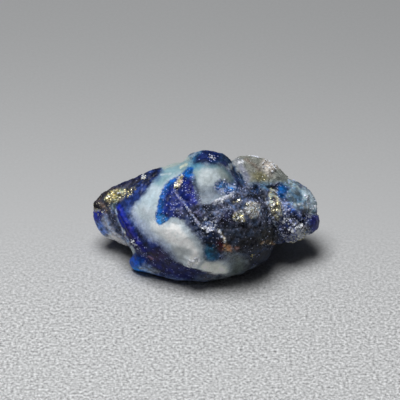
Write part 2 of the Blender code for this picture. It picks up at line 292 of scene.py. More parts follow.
BLOCK = [
    (268, 183), (276, 180), (290, 180), (306, 186), (318, 196), (322, 214), (320, 232), (304, 240),
    (290, 244), (283, 243), (276, 228), (271, 214), (268, 199)
]
CRYSTAL = [
    (230, 159), (236, 151), (258, 151), (276, 158), (292, 176), (284, 181), (268, 183), (256, 181),
    (249, 184), (243, 176), (237, 168)
]
FLANK = [
    (217, 152), (227, 154), (236, 160), (243, 170), (247, 181), (244, 187), (239, 184), (235, 175),
    (229, 166), (222, 159)
]
NOSE_TOP = [(88, 216), (88, 196), (104, 188), (122, 184), (120, 196), (116, 203), (108, 205), (101, 215)]
NOSE_FRONT = [(98, 216), (108, 206), (113, 210), (119, 222), (126, 236), (132, 247), (116, 246), (98, 238)]
NOSE_FOOT = [(103, 236), (112, 233), (121, 237), (128, 245), (128, 248), (116, 247), (104, 242)]
LOWER_BAND = [
    (143, 251), (153, 249), (165, 250), (175, 260), (186, 267), (200, 271), (214, 275), (208, 286),
    (180, 286), (150, 279), (142, 270)
]
FOOT = [(125, 254), (136, 253), (144, 257), (149, 266), (146, 273), (136, 277), (124, 272)]
GOLD_STRIP = [
    (104, 198), (110, 191), (118, 189), (128, 190), (140, 184), (135, 193), (126, 198), (116, 203),
    (108, 202)
]
GRAIN_SPOT = [(141, 176.5), (144, 174), (147, 175.5), (146, 178.5), (142, 179)]
TONGUE_GRAIN = [(174, 181), (178, 175), (183, 175), (183, 183), (179, 191), (175, 188)]
CLUSTER = [
    (232, 216), (235, 213), (239, 212), (241, 209), (244, 212), (242, 217), (244, 221), (238, 222),
    (234, 220)
]
CLUSTER_RIGHT = [
    (245, 205), (250, 202), (256, 204), (259, 208), (257, 213), (260, 216), (253, 218), (247, 215)
]
COLUMN = [(268, 189), (275, 188), (279, 197), (281, 208), (282, 218), (276, 221), (271, 212), (269, 200)]
TEAL_SPOT = [(204, 249), (213, 247), (218, 254), (215, 261), (206, 261)]
PIT = [(204, 217), (210, 214), (216, 218), (217, 226), (211, 230), (204, 225)]
GLASS = [(288, 192), (294, 187), (301, 189), (305, 196), (301, 203), (293, 204), (288, 199)]
KNOB = [(310, 217), (315, 214), (321, 219), (320, 231), (312, 233), (310, 226)]
SUGAR = [(260, 160), (272, 160), (279, 168), (274, 176), (264, 174)]
VEIN_TOP = [(175, 191), (178, 195), (180, 200), (184, 203), (187, 208)]
VEIN_FOOT = [(187, 208), (190, 213), (195, 217), (198, 223), (203, 226), (208, 230), (214, 231)]
DARK_LEDGE = [
    (116, 190), (130, 179), (146, 171), (158, 166), (153, 180), (141, 189), (128, 196), (120, 198)
]
CRYSTAL_FOOT = [(249, 173), (262, 172), (270, 178), (266, 184), (254, 182)]
CRYSTAL_BEHIND = [(228, 75), (292, 75), (290, 24), (262, 8), (238, 22)]
NOSE_BEHIND = [(84, 75), (150, 65), (160, -120), (84, -120)]
BLOCK_BEHIND = [(206, 60), (324, 75), (324, -120), (216, -120)]
SEAM_BEHIND_NOSE = [(128, 30), (142, 10), (150, -16)]
SEAM_BEHIND_BLOCK = [(216, 10), (232, -10), (250, -14)]
BLUE_PATCH = [(213, 183), (221, 180), (231, 180), (238, 186), (235, 194), (222, 196), (214, 191)]

white = both_sides(0, [
    (1, 3, BAND_TOP),
    (1, 8, BAND_MIDDLE),
    (1, 4.5, BAND_TAIL),
    (1, 5, DOME),
    # The white line on the ledge's edge is partly calcite and partly a painted highlight.
    (0.9, 1, [(216, 203), (224, 199.5), (231, 194.5)], 1.5),
    (0.8, 1.4, [(130, 245), (134, 247), (136, 253), (132, 256), (129, 252)]),
    (0.75, 3, NOSE_FOOT),
    (0.4, 3, [(104, 220), (109, 229), (118, 237)], 2.5),
    (0.55, 3, [(95, 230), (100, 235), (106, 238)], 3),
    (0, 1.6, TONGUE),
    (0.3, 3, [(194, 176), (196, 188), (199, 200)], 2),
    (0.1, 5, [(181, 212), (191, 216), (202, 232), (208, 246), (200, 240), (189, 227)]),
    (0, 3.5, FLANK),
    (0.5, 3, [(190, 160), (193, 154), (198, 150)], 2),
    (0.2, 4, BLUE_PATCH),
    (0.5, 7, [(222, 250), (240, 252), (250, 262), (238, 280), (224, 282), (228, 268)]),
    (0.1, 6, TEAL_SPOT),
    (0.9, 2.5, CRYSTAL),
    (0.5, 2.5, [(250, 185), (259, 183.5), (268, 184), (276, 182), (286, 181)], 1.4),
    (0.7, 2, [(237, 164), (243, 168), (250, 178), (248, 185), (241, 176)]),
    (0.7, 1.5, [(280, 198), (286, 204), (290, 212), (285, 219), (281, 210)]),
    (0.6, 3, [(300, 186), (310, 190), (318, 199), (318, 211), (309, 210), (304, 198)]),
    (0.45, 3.5, [(144, 265), (150, 268), (158, 272)], 2.5),
    (0.35, 3, [(165, 279), (180, 281), (200, 281), (216, 279)], 2),
], [
    (1, 5, [
        (157, 64), (181, 62), (183, 40), (190, 22), (196, 2), (193, -14), (204, -36), (212, -62),
        (226, -92), (240, -126), (204, -128), (194, -96), (186, -66), (178, -40), (174, -18), (176, 0),
        (170, 20), (160, 36)
    ]),
    (0.8, 4, [(194, 2), (206, 6), (220, -6), (238, -4)], 2.4),
    (0.6, 4, [(120, -60), (126, -90), (132, -120)], 5),
    (0.7, 3, [(222, -150), (236, -110), (262, -90)], 3),
    (0.9, 6, [(228, 75), (292, 75), (290, 24), (262, 4), (238, 22)]),
])

# The calcite's colours, with some painted highlights among them.
calcite_tint_and_highlights = both_tints((186, 199, 208), [
    ((150, 170, 194), 3, [(153, 180), (144, 192), (136, 204)], 3.5),
    ((184, 198, 220), 4, [(132, 209), (136, 219), (146, 231), (160, 244), (174, 256)], 5),
    ((130, 162, 172), 4, [
        (152, 176), (158, 160), (192, 150), (194, 165), (184, 172), (172, 176), (164, 184), (157, 189)
    ]),
    ((96, 126, 154), 2.5, [(153, 180), (157, 165), (166, 163), (164, 172), (158, 183)]),
    ((160, 172, 168), 1.5, [(164, 168), (176, 163.5), (188, 159)], 1.6),
    # Painted highlights: two pale streaks where light glints on the polished top of the band.
    ((196, 204, 188), 0.8, [(180, 168), (184, 165.5), (188, 163.5)], 1),
    ((168, 186, 194), 0.8, [(161, 174), (171, 174)], 0.8),
    ((180, 198, 208), 5, [
        (150, 190), (157, 186), (158, 200), (155, 216), (148, 218), (142, 210), (143, 200)
    ]),
    ((198, 214, 224), 3, [(135, 206), (142, 204), (146, 212), (142, 218), (136, 214)]),
    ((188, 199, 207), 5, [(140, 208), (152, 205), (158, 213), (153, 220), (144, 217)]),
    ((248, 252, 254), 5, [
        (152, 221), (160, 222), (166, 228), (174, 225), (181, 233), (178, 243), (166, 241), (154, 231)
    ]),
    ((250, 252, 252), 4, [
        (163, 229), (175, 222), (184, 231), (193, 243), (201, 254), (192, 258), (178, 250), (168, 240)
    ]),
    ((190, 197, 200), 4, [(170, 246), (182, 246), (192, 251), (189, 257), (176, 256)]),
    # Bright broken calcite, pushed to full white as a painted highlight where the light falls short.
    ((255, 255, 252), 2.5, [(188, 256), (196, 254), (201, 257), (198, 262), (189, 262)]),
    ((252, 255, 246), 3, [(200, 260), (212, 262), (228, 265), (228, 272), (214, 275), (202, 270)]),
    ((128, 140, 134), 8, [(230, 252), (248, 256), (250, 270), (236, 282), (228, 276), (232, 266)]),
    ((128, 156, 160), 2.5, [
        (191, 168), (199, 165), (203, 169), (198, 178), (195, 190), (192, 188), (190, 176)
    ]),
    ((176, 187, 191), 5, [
        (198, 172), (207, 168), (215, 170), (218, 178), (215, 185), (207, 187), (200, 183)
    ]),
    ((112, 124, 138), 7, [
        (193, 190), (205, 188), (216, 186), (228, 188), (226, 200), (212, 204), (198, 204)
    ]),
    ((134, 145, 146), 4, [
        (214, 166), (222, 166), (230, 172), (236, 186), (232, 194), (224, 188), (219, 178)
    ]),
    ((92, 116, 124), 3, [(212, 163), (222, 166), (229, 172), (234, 181)], 2.2),
    # Painted highlight: a glint on the dome's right shoulder.
    ((190, 200, 200), 0.9, [(226, 165), (231, 170)], 1),
    # The ledge's edge: pale calcite, brightened as a painted highlight where it catches the light.
    ((190, 194, 212), 1.2, [(214, 203), (224, 199.5), (232, 194)], 1.8),
    ((100, 130, 142), 3, [(196, 166), (205, 166), (215, 165)], 2.6),
    ((106, 122, 136), 3, [(193, 172), (195, 184), (197, 196)], 2.2),
    ((86, 140, 166), 3.5, [(189, 167), (193, 160), (204, 160), (203, 167), (197, 169), (191, 172)]),
    ((232, 238, 250), 3, NOSE_FRONT),
    ((252, 253, 255), 3, NOSE_FOOT),
    ((150, 186, 232), 3, [(94, 229), (99, 234), (104, 238)], 3.5),
    ((122, 124, 118), 2.5, CRYSTAL),
    ((132, 136, 142), 2, [(232, 158), (242, 158), (245, 165), (240, 170), (235, 166)]),
    # Painted highlight on the left lobe of the grey crystal.
    ((214, 216, 218), 1.2, [(238, 161), (242, 160.5), (243, 164), (239, 165)]),
    ((122, 126, 146), 3, [(238, 166), (244, 167), (251, 178), (248, 185), (242, 178)]),
    ((182, 174, 166), 4.5, SUGAR),
    ((112, 104, 96), 2.5, [(246, 160), (255, 165), (262, 176)], 2),
    ((108, 106, 84), 3.5, CRYSTAL_FOOT),
    ((104, 122, 128), 2.5, [(252, 184), (260, 183), (268, 184), (276, 182), (290, 183)], 2),
    ((118, 122, 118), 2.5, [(274, 168), (284, 172), (291, 180), (280, 182), (273, 178)]),
    ((140, 164, 220), 2, [(279, 196), (288, 202), (292, 213), (285, 220), (280, 210)]),
    ((186, 204, 216), 3, [(300, 184), (310, 188), (319, 198), (319, 212), (309, 211), (303, 198)]),
    ((236, 246, 252), 2.5, [(142, 267), (152, 272), (160, 275)], 2.2),
], [
    ((150, 172, 182), 5, [(158, 60), (160, 30), (172, -10), (184, -60)], 6),
    ((206, 214, 214), 5, [(178, 50), (182, 0), (196, -50)], 4),
    ((126, 128, 122), 4, CRYSTAL_BEHIND),
    ((196, 188, 176), 6, [(252, 60), (276, 56), (276, 26), (254, 22)]),
    ((104, 104, 84), 6, [(236, 40), (250, 36), (252, 14), (240, 18)]),
])

# The rock's colours, with some painted highlights and painted shade among them.
rock_tint_and_painted_light = both_tints((34, 42, 78), [
    ((96, 104, 132), 3, NOSE_FRONT),
    ((58, 56, 64), 2.5, NOSE_TOP),
    ((22, 20, 26), 2.5, [(94, 206), (98, 208), (99, 213)], 2.2),
    ((120, 104, 96), 2, [(101, 204), (105, 209), (107, 213)], 1.6),
    ((150, 144, 134), 1.5, [(92, 208), (98, 211)], 1),
    ((84, 96, 98), 2, [(108, 203), (115, 203), (120, 209), (112, 212)]),
    ((30, 52, 180), 4, [(88, 213), (98, 212), (102, 219), (100, 226), (92, 226)]),
    ((112, 146, 222), 4.5, [(93, 223), (101, 222), (108, 230), (107, 238), (96, 234)]),
    ((188, 200, 232), 3, [
        (103, 217), (108, 219), (112, 228), (121, 236), (124, 241), (116, 239), (107, 232)
    ]),
    ((66, 78, 108), 2.5, [(109, 213), (112, 220), (115, 227), (117, 231)], 2),
    ((250, 252, 255), 2, NOSE_FOOT),
    ((28, 30, 62), 2, DARK_LEDGE),
    ((66, 68, 84), 1.5, [(118, 190), (128, 184), (138, 180)], 1.4),
    ((150, 146, 116), 2, GOLD_STRIP),
    ((206, 196, 112), 1.5, [(110, 196), (114, 195), (118, 195)], 2.6),
    ((74, 76, 84), 2.5, [(123, 193), (130, 188), (141, 183), (136, 193), (126, 199), (120, 202)]),
    ((176, 176, 164), 1.6, GRAIN_SPOT),
    ((34, 50, 112), 4, [(124, 214), (134, 226), (148, 240), (164, 252)], 9),
    ((40, 56, 104), 2.5, [(154, 172), (147, 183), (137, 195), (128, 203), (121, 211)], 6),
    ((88, 108, 160), 4, [(128, 207), (130, 214), (134, 221), (142, 230), (150, 238)], 2.6),
    ((44, 62, 122), 2.5, [(146, 184), (140, 191), (133, 199), (126, 205)], 2.2),
    ((14, 22, 50), 3, [(157, 167), (151, 176), (146, 183)], 2.6),
    ((14, 36, 146), 2.5, [(119, 209), (122, 218), (128, 228)], 3.6),
    ((38, 38, 108), 2.5, [(128, 229), (135, 240), (142, 248), (150, 257)], 4.2),
    ((28, 36, 64), 3, [(136, 230), (144, 241), (150, 250)], 2.5),
    ((16, 30, 100), 1.6, [(134, 241), (139, 250), (144, 256)], 2),
    # Painted highlight: a thin pale line along the ridge's edge.
    ((196, 204, 224), 0.8, [(114, 210), (116, 218), (120, 226), (124, 234), (129, 243)], 0.7),
    ((21, 29, 82), 3, LOWER_BAND),
    ((48, 36, 74), 4, [(150, 252), (163, 250), (168, 258), (155, 262), (149, 260)]),
    ((170, 120, 130), 1, [(147, 256), (150, 256), (152, 259)], 0.6),
    ((84, 104, 160), 3, [(150, 273), (160, 277), (172, 280), (190, 282), (206, 282)], 2.6),
    ((92, 98, 116), 3, [(196, 277), (206, 277), (216, 276)], 3),
    ((48, 52, 96), 3, [(166, 262), (180, 270), (196, 275)], 1.6),
    ((34, 40, 110), 3, [(156, 264), (166, 270), (180, 276)], 2),
    ((6, 82, 190), 4.5, FOOT),
    ((60, 156, 248), 4, [(132, 270), (139, 269), (148, 270)], 2.6),
    ((170, 190, 216), 1.8, [(141, 268), (147, 270.5), (153, 272)], 1.6),
    ((24, 34, 92), 3, [(137, 250), (144, 255), (150, 262)], 2.5),
    ((60, 116, 176), 1.5, TONGUE[:12] + TONGUE[-3:], 3),
    ((24, 40, 104), 2, TONGUE),
    ((28, 84, 156), 3.4, [
        (187, 169), (178, 175), (170, 181), (164, 188), (161, 196), (159, 206), (157, 216)
    ], 3.2),
    ((51, 115, 176), 1.6, [(154, 219), (158, 214), (165, 216), (168, 219), (163, 225), (157, 226)]),
    ((24, 96, 172), 3, [(184, 173), (190, 166), (194, 168), (193, 176), (188, 179)]),
    ((184, 172, 168), 1.3, [
        (175.5, 181), (178.5, 176), (182, 176), (182.5, 182), (179.5, 189), (177, 187)
    ]),
    ((34, 42, 118), 3, [(186, 182), (191, 180), (194, 190), (198, 200), (194, 208), (188, 202)]),
    ((60, 68, 100), 3, [(173, 208), (184, 207), (192, 215), (198, 226), (193, 230), (184, 221)]),
    ((19, 34, 78), 3, CROWN),
    ((30, 52, 84), 2.5, [(195, 162), (204, 162.5), (214, 162), (222, 160)], 1.8),
    ((44, 96, 134), 3, [(193, 160), (195, 154), (199, 150)], 1.8),
    ((38, 56, 82), 2, FLANK),
    # Painted highlight: a glint on the dome's right shoulder.
    ((150, 160, 168), 1.2, [(228, 164), (231, 164), (232, 169), (229, 169)]),
    ((82, 90, 114), 3, MASS),
    ((78, 84, 118), 3, [(188, 208), (200, 206), (204, 214), (198, 220), (190, 216)]),
    ((50, 52, 76), 3, [(220, 212), (234, 208), (238, 224), (226, 232), (218, 226)]),
    ((66, 72, 88), 5, [
        (216, 228), (232, 224), (262, 220), (272, 226), (281, 243), (262, 251), (240, 255), (222, 254),
        (212, 244)
    ]),
    ((38, 41, 52), 3, [(236, 238), (252, 236), (266, 238), (266, 248), (248, 253), (238, 250)]),
    ((34, 44, 68), 3, [(186, 216), (194, 218), (204, 230), (212, 244), (208, 252), (198, 240)]),
    ((32, 42, 64), 2.5, [(200, 229), (214, 230), (221, 240), (220, 250), (210, 250), (203, 240)]),
    ((172, 172, 164), 2.5, CLUSTER),
    ((174, 173, 168), 3, CLUSTER_RIGHT),
    ((66, 74, 94), 3, [(236, 190), (250, 183), (266, 184), (268, 198), (258, 200), (246, 196)]),
    ((52, 78, 120), 2, [(252, 185), (259, 185), (260, 193), (253, 193)]),
    # Teal in the crease under the grey crystal, made paler as painted light against the crystal's shadow.
    ((96, 128, 152), 2.5, [(260, 182), (276, 180), (278, 186), (266, 189), (260, 188)]),
    ((30, 68, 118), 3.5, BLUE_PATCH),
    ((40, 116, 184), 2, [(219, 186), (226, 184), (232, 188)], 1.6),
    # The ledge's edge: pale, partly calcite and partly a painted highlight.
    ((180, 186, 204), 1, [(216, 202), (224, 198.5), (231, 194)], 1),
    ((134, 140, 192), 0.9, VEIN_TOP, 0.5),
    ((84, 90, 140), 1.5, [(180, 198), (183, 206), (180, 212)], 0.8),
    ((160, 166, 196), 0.9, VEIN_FOOT, 0.7),
    ((200, 190, 170), 0.9, [(218, 230), (222, 235), (226, 242)], 1),
    ((56, 58, 62), 3, [(262, 226), (274, 226), (279, 238), (268, 246), (256, 244)]),
    ((40, 46, 60), 4, [
        (236, 256), (262, 250), (284, 243), (282, 250), (262, 266), (238, 280), (216, 286), (214, 275),
        (228, 272)
    ]),
    ((96, 102, 108), 2, [(238, 260), (248, 262)], 1.6),
    ((84, 90, 98), 2.5, [(216, 280), (238, 275), (256, 267)], 2),
    ((16, 104, 146), 6, TEAL_SPOT),
    ((66, 32, 44), 3, [(216, 240), (223, 239), (226, 250), (218, 253)]),
    ((222, 164, 120), 1.8, [(223, 246), (227, 243), (232, 247), (233, 251), (226, 252)]),
    ((130, 90, 76), 1.5, [(235, 247), (240, 247), (240, 251), (235, 251)]),
    ((150, 126, 104), 1.5, [(262, 243), (268, 241), (274, 244)], 1.3),
    ((72, 80, 106), 2.5, BLOCK),
    # Painted highlight: a thin pale line along the groove's edge.
    ((160, 170, 184), 0.8, [(264, 196), (268, 205), (271, 214), (277, 228), (284, 240)], 0.6),
    ((176, 176, 158), 2, COLUMN),
    ((128, 146, 154), 2.5, [(276, 178), (292, 178), (302, 184), (292, 188), (276, 184)]),
    ((168, 180, 214), 1, [(280, 196), (284, 204), (288, 212), (290, 220)], 0.9),
    ((17, 80, 138), 2.5, [(276, 184), (285, 184), (288, 191), (285, 199), (278, 198)]),
    ((140, 162, 174), 2.5, [
        (290, 184), (304, 187), (316, 197), (318, 208), (310, 211), (303, 200), (296, 189)
    ]),
    ((150, 170, 180), 2.5, [(302, 202), (318, 202), (319, 213), (306, 213)]),
    ((186, 206, 224), 2, [(291, 204), (299, 206), (306, 205), (310, 208)], 2.4),
    ((62, 104, 176), 2, [(287, 205), (294, 211), (301, 218)], 2.8),
    ((176, 190, 222), 1, [(284, 203), (292, 206), (299, 211)], 0.8),
    ((190, 200, 224), 1, [(286, 212), (293, 216), (297, 222)], 0.7),
    ((62, 66, 92), 2.5, [(280, 218), (288, 218), (296, 224), (296, 240), (286, 245), (280, 234)]),
    ((140, 144, 158), 2.5, [(294, 226), (302, 222), (309, 230), (306, 238), (296, 242)]),
    # Painted shade along the bottom edge of the right end.
    ((70, 72, 78), 2, [(290, 242), (298, 239), (306, 236)], 1.8),
    ((28, 34, 52), 2, [(290, 216), (300, 220), (307, 216)], 2),
    ((30, 50, 110), 1.4, [(314, 208), (319, 208), (321, 214), (315, 213)]),
    ((42, 46, 106), 1.8, KNOB),
    ((128, 158, 170), 1.5, GLASS + GLASS[:1], 0.8),
    ((94, 115, 132), 1.5, GLASS),
    ((116, 118, 110), 2, CRYSTAL),
], [
    ((70, 62, 64), 6, [(84, 70), (122, 62), (124, 10), (104, -20), (84, 0)]),
    ((50, 62, 120), 6, [(84, 0), (112, 0), (128, -40), (120, -120), (92, -120)]),
    ((30, 44, 122), 3, [(152, 62), (154, 30), (166, -10), (178, -60), (192, -130)], 4),
    ((34, 50, 112), 3, [(192, 60), (194, 30), (202, -10), (214, -60), (228, -100)], 5),
    ((34, 88, 170), 3, [(188, 40), (198, 0), (208, -40)], 3),
    ((26, 32, 62), 8, [(130, 40), (150, 30), (152, -30), (134, -50), (124, 0)]),
    ((78, 84, 104), 6, [(206, 40), (232, 20), (262, 10), (270, -60), (240, -110), (216, -60)]),
    ((48, 84, 150), 6, [(214, -20), (230, -30), (238, -60), (224, -80), (212, -50)]),
    ((60, 54, 84), 6, [(246, 0), (268, 4), (276, -30), (256, -50)]),
    ((104, 92, 82), 4, [(96, 50), (108, 30), (116, 0)], 2.5),
    ((134, 134, 126), 4, CRYSTAL_BEHIND),
    ((84, 96, 124), 4, [(284, 75), (324, 75), (324, -120), (288, -120), (280, -20)]),
    ((44, 92, 150), 4, [(292, 50), (308, 40), (306, 10), (292, 14)]),
    ((120, 116, 98), 4, SEAM_BEHIND_BLOCK, 4),
    ((120, 116, 98), 4, SEAM_BEHIND_NOSE, 3),
])

specks = both_sides(0.05, [
    (0.24, 3, TONGUE),
    (0.32, 2, [(172, 206), (180, 204), (190, 212), (198, 222), (190, 224), (180, 216)]),
    (0.22, 3, MASS),
    (0.1, 3, [(218, 228), (262, 222), (281, 243), (250, 254), (222, 252)]),
    (0.2, 3, LOWER_BAND),
    (0.3, 3, [(129, 231), (136, 241), (146, 253)], 4),
    (0.3, 4, [(194, 188), (215, 188), (222, 196), (212, 204), (196, 204)]),
    (0.5, 3, BLUE_PATCH),
    (0.06, 2, [(232, 206), (246, 202), (258, 202), (262, 212), (256, 220), (240, 224), (231, 220)]),
    (0.5, 3, BLOCK),
    (0.25, 3, NOSE_FRONT),
    (0.2, 3, NOSE_TOP),
    (0.04, 2, CRYSTAL),
    (0.1, 2, CROWN),
    # Painted glints: dense pale specks on the crown's top.
    (0.6, 1.5, [(207, 156), (213, 154), (217, 157), (214, 160), (208, 160)]),
    (0.02, 2, [(155, 172), (148, 183), (138, 195), (128, 203), (120, 211), (124, 224), (130, 232)], 6),
    (0.5, 1.5, [(140, 250), (144, 255)], 2.5),
    (0.5, 2, [(146, 268), (158, 274)], 1.5),
    (0.15, 3, [
        (277, 182), (292, 180), (308, 186), (320, 198), (320, 212), (300, 214), (288, 206), (278, 200)
    ]),
    (0.05, 2, GLASS),
    (0.05, 2, KNOB),
], [
    (0.12, 6, NOSE_BEHIND),
    (0.18, 6, BLOCK_BEHIND),
    (0.45, 6, [(280, 40), (320, 40), (320, -60), (286, -60)]),
    (0.05, 4, CRYSTAL_BEHIND),
])

grit = both_sides(0.12, [
    (0.25, 3, TONGUE),
    (0.7, 3, MASS),
    (0.15, 3, LOWER_BAND),
    (0.8, 3, BLOCK),
    (0.3, 3, NOSE_TOP),
    (0.25, 3, NOSE_FRONT),
    (0.5, 3, CRYSTAL),
    (0.8, 4, SUGAR),
    (0.5, 2, DARK_LEDGE),
    (1, 1.5, GOLD_STRIP),
    (1, 2, PIT),
    (0.2, 3, [
        (277, 182), (292, 178), (308, 184), (324, 198), (324, 214), (300, 214), (288, 206), (278, 200)
    ]),
    (0.05, 1.5, GLASS),
    (0.1, 2, KNOB),
], [
    (0.5, 8, NOSE_BEHIND),
    (0.6, 8, BLOCK_BEHIND),
    (0.35, 4, CRYSTAL_BEHIND),
])

gold = both_sides(0, [
    (0.4, 1.5, GOLD_STRIP),
    (0.18, 2.5, NOSE_TOP),
    (0.25, 1.2, GRAIN_SPOT),
    (0.7, 1, TONGUE_GRAIN),
    (0.15, 2, CLUSTER),
    (0.1, 2, CLUSTER_RIGHT),
    (0.2, 1.5, COLUMN),
    (0.15, 2, CRYSTAL_FOOT),
], [
    (0.5, 4, SEAM_BEHIND_BLOCK, 5),
    (0.5, 4, SEAM_BEHIND_NOSE, 3),
])

# Ledges and ridges stand proud by the given millimetres, and pits and grooves lie below. Each
# has its height, its half width in pixels and the path that it follows.
RELIEF = [
    (-0.28, 1.5, [(110, 204), (114, 212), (118, 223), (123, 233), (129, 244)]),
    (0.3, 2.2, [(119, 210), (125, 222), (133, 236), (141, 247), (147, 255)]),
    (0.3, 4, [(224, 157), (232, 162)]),
    (-0.25, 1.6, [(234, 169), (236, 171), (241, 181), (248, 187)]),
    (0.34, 2.4, [(252, 186), (262, 185.5), (272, 184.5), (280, 183)]),
    (0.28, 1.6, [(197, 205), (212, 203), (222, 200), (231, 195), (236, 189)]),
    (-0.2, 2.5, [(200, 211), (214, 210), (226, 206), (236, 200)]),
    (0.1, 1.2, VEIN_TOP + VEIN_FOOT[1:]),
    (-0.16, 2, [(181, 206), (190, 220), (199, 230), (207, 236)]),
    (-0.45, 3.6, [(209, 219), (211, 225)]),
    (0.16, 4, [(238, 217), (241, 214)]),
    (0.22, 5, [(250, 207), (255, 212)]),
    (-0.15, 1.5, [(245, 208), (246, 219)]),
    (-0.35, 2, [(257, 188), (266, 200), (269, 211), (273, 224), (280, 235), (284, 244)]),
    (0.22, 3, [(272, 192), (276, 204), (278, 216)]),
    (-0.25, 2, [(283, 196), (285, 204), (284, 214), (282, 226)]),
    (-0.15, 6, [(295, 195), (297, 197)]),
    (0.2, 1.5, [(287, 204), (296, 206), (305, 203), (307, 195)]),
    (-0.25, 1.8, [(290, 214), (299, 219), (306, 226), (306, 234)]),
    (0.3, 4.5, [(313, 221), (314, 226)]),
    (-0.2, 1.6, [(308, 212), (314, 213), (320, 214)]),
    (-0.2, 2.5, [(222, 245), (230, 248), (240, 250)]),
    (-0.18, 1.5, [(262, 244), (270, 246), (280, 247)]),
    (0.25, 5, [(265, 166), (269, 170)]),
    (0.4, 4, [(180, 257), (190, 262), (202, 267), (216, 269), (228, 269)]),
    (0.45, 3, [(186, 260), (193, 262), (201, 261)]),
]
heights = np.zeros(len(in_mm))
for height, half_width, path in RELIEF:
    heights += height * np.exp(-((display.gap(rounded(path, False)) / half_width) ** 2))
heights *= 1 - behind
heights += behind * 0.22 * clouds(in_mm, 2.6, 14)

# Gritty ground is lumpy and broken into crystal faces. Each line has a height, the size of the
# lumps or faces in millimetres, and the seed that places them.
rough = grit[:, 0]
heights += rough * (0.14 * clouds(in_mm, 1.1, 3) + 0.07 * clouds(in_mm, 0.45, 4))
heights += rough * (0.5 * crystal_faces(in_mm, 1.7, 9) + 0.55 * crystal_faces(in_mm, 0.9, 5))
heights += rough * 0.35 * crystal_faces(in_mm, 0.4, 6)
heights += 0.03 * clouds(in_mm, 1.8, 8)

# The flat spot that it rests on stays flat.
heights *= np.clip(in_mm[:, 2] / FLAT_BELOW, 0, 1)
moved = in_mm + normals * heights[:, None]
moved[:, 2] = np.maximum(moved[:, 2], 0)
stone.data.vertices.foreach_set("co", (moved * MM).astype(np.float32).ravel())
stone.data.update()
stone.data.shade_smooth()


def keep_on_skin(name, values):
    """Stores a number or colour for each place, for the material to read."""
    kind, slot = "FLOAT", "value"
    if values.shape[1] == 3:
        kind, slot = "FLOAT_COLOR", "color"
        values = np.hstack([values, np.ones((len(values), 1))])
    stored = stone.data.attributes.new(name, kind, "POINT")
    stored.data.foreach_set(slot, values.astype(np.float32).ravel())


keep_on_skin("white", white)
keep_on_skin("calcite_tint_and_highlights", calcite_tint_and_highlights)
keep_on_skin("rock_tint_and_painted_light", rock_tint_and_painted_light)
keep_on_skin("specks", specks)
keep_on_skin("grit", grit)
keep_on_skin("gold", gold)


class Wire:
    """A shader socket that can be used in sums, which add Math nodes."""

    def __init__(self, finish, socket):
        self.finish = finish
        self.socket = socket

    def maths(self, operation, first, second):
        return self.finish.node("ShaderNodeMath", {"operation": operation}, {0: first, 1: second})

    def __add__(self, other):
        return self.maths("ADD", self, other)

    def __sub__(self, other):
        return self.maths("SUBTRACT", self, other)

    def __rsub__(self, other):
        return self.maths("SUBTRACT", other, self)

    def __mul__(self, other):
        return self.maths("MULTIPLY", self, other)

    __radd__ = __add__
    __rmul__ = __mul__


class Finish:
    """A material, and the calls that build its nodes."""

    def __init__(self, name):
        self.material = bpy.data.materials.new(name)
        self.material.use_nodes = True
        self.tree = self.material.node_tree
        self.tree.nodes.remove(self.tree.nodes["Principled BSDF"])
        self.output = self.tree.nodes["Material Output"]

    def node(self, kind, settings, sockets, output=0):
        """Adds a node, sets it up, then gives its sockets their values or links."""
        made = self.tree.nodes.new(kind)
        for name, value in settings.items():
            setattr(made, name, value)
        for name, value in sockets.items():
            if isinstance(value, Wire):
                self.tree.links.new(value.socket, made.inputs[name])
            else:
                made.inputs[name].default_value = value
        return Wire(self, made.outputs[output])

    def show(self, shader):
        self.tree.links.new(shader.socket, self.output.inputs["Surface"])

    def over(self, mask, under, top, blend="MIX"):
        """The colour top laid over the colour under where mask is 1."""
        settings = {"data_type": "RGBA", "blend_type": blend}
        return self.node("ShaderNodeMix", settings, {0: mask, 6: under, 7: top}, 2)

    def vector(self, operation, sockets):
        return self.node("ShaderNodeVectorMath", {"operation": operation}, sockets)

    def toned(self, colour, factor):
        """A colour made darker or brighter by a factor."""
        return self.vector("SCALE", {0: colour, "Scale": factor})

    def filtered(self, colour, glass):
        """A colour seen through another, as through tinted glass."""
        return self.over(1, colour, glass, "MULTIPLY")

    def rise(self, value, low, high):
        """0 below low and 1 above high, with a soft rise between."""
        sockets = {"Value": value, "From Min": low, "From Max": high}
        return self.node("ShaderNodeMapRange", {"interpolation_type": "SMOOTHSTEP"}, sockets)

    def kept(self, name, output="Fac"):
        """A number that the mesh keeps, or a colour."""
        return self.node("ShaderNodeAttribute", {"attribute_name": name}, {}, output)

    def here(self, size):
        """The sockets of a texture with features of the given size in millimetres."""
        spot = self.node("ShaderNodeTexCoord", {}, {}, "Object")
        return {"Vector": spot, "Scale": 1 / (size * MM)}

    def mottle(self, size, detail=3.0, roughness=0.55):
        """Noise from 0 to 1 with features of the given size."""
        sockets = {**self.here(size), "Detail": detail, "Roughness": roughness}
        return self.node("ShaderNodeTexNoise", {}, sockets, "Fac")

    def cells(self, size, output, feature="F1"):
        """Crystal grains of the given size: a random colour for each, or a distance in them."""
        return self.node("ShaderNodeTexVoronoi", {"feature": feature}, self.here(size), output)

    def joints(self, size):
        """The distance to the joints between grains of the given size, in shares of it."""
        return self.cells(size, "Distance", "DISTANCE_TO_EDGE")

    def lot(self, size, part):
        """A number from 0 to 1 for each grain of the given size, at random."""
        colour = self.cells(size, "Color")
        return self.node("ShaderNodeSeparateColor", {}, {"Color": colour}, part)

    def grains(self, size, density):
        """Scattered grains: 1 on a grain, 0 off it. Density is the share of cells with one."""
        on = self.rise(density - self.lot(size, "Red"), 0.0, 0.03)
        near = self.rise(GRAIN_REACH - self.cells(size, "Distance"), 0.0, 0.12)
        return on * near


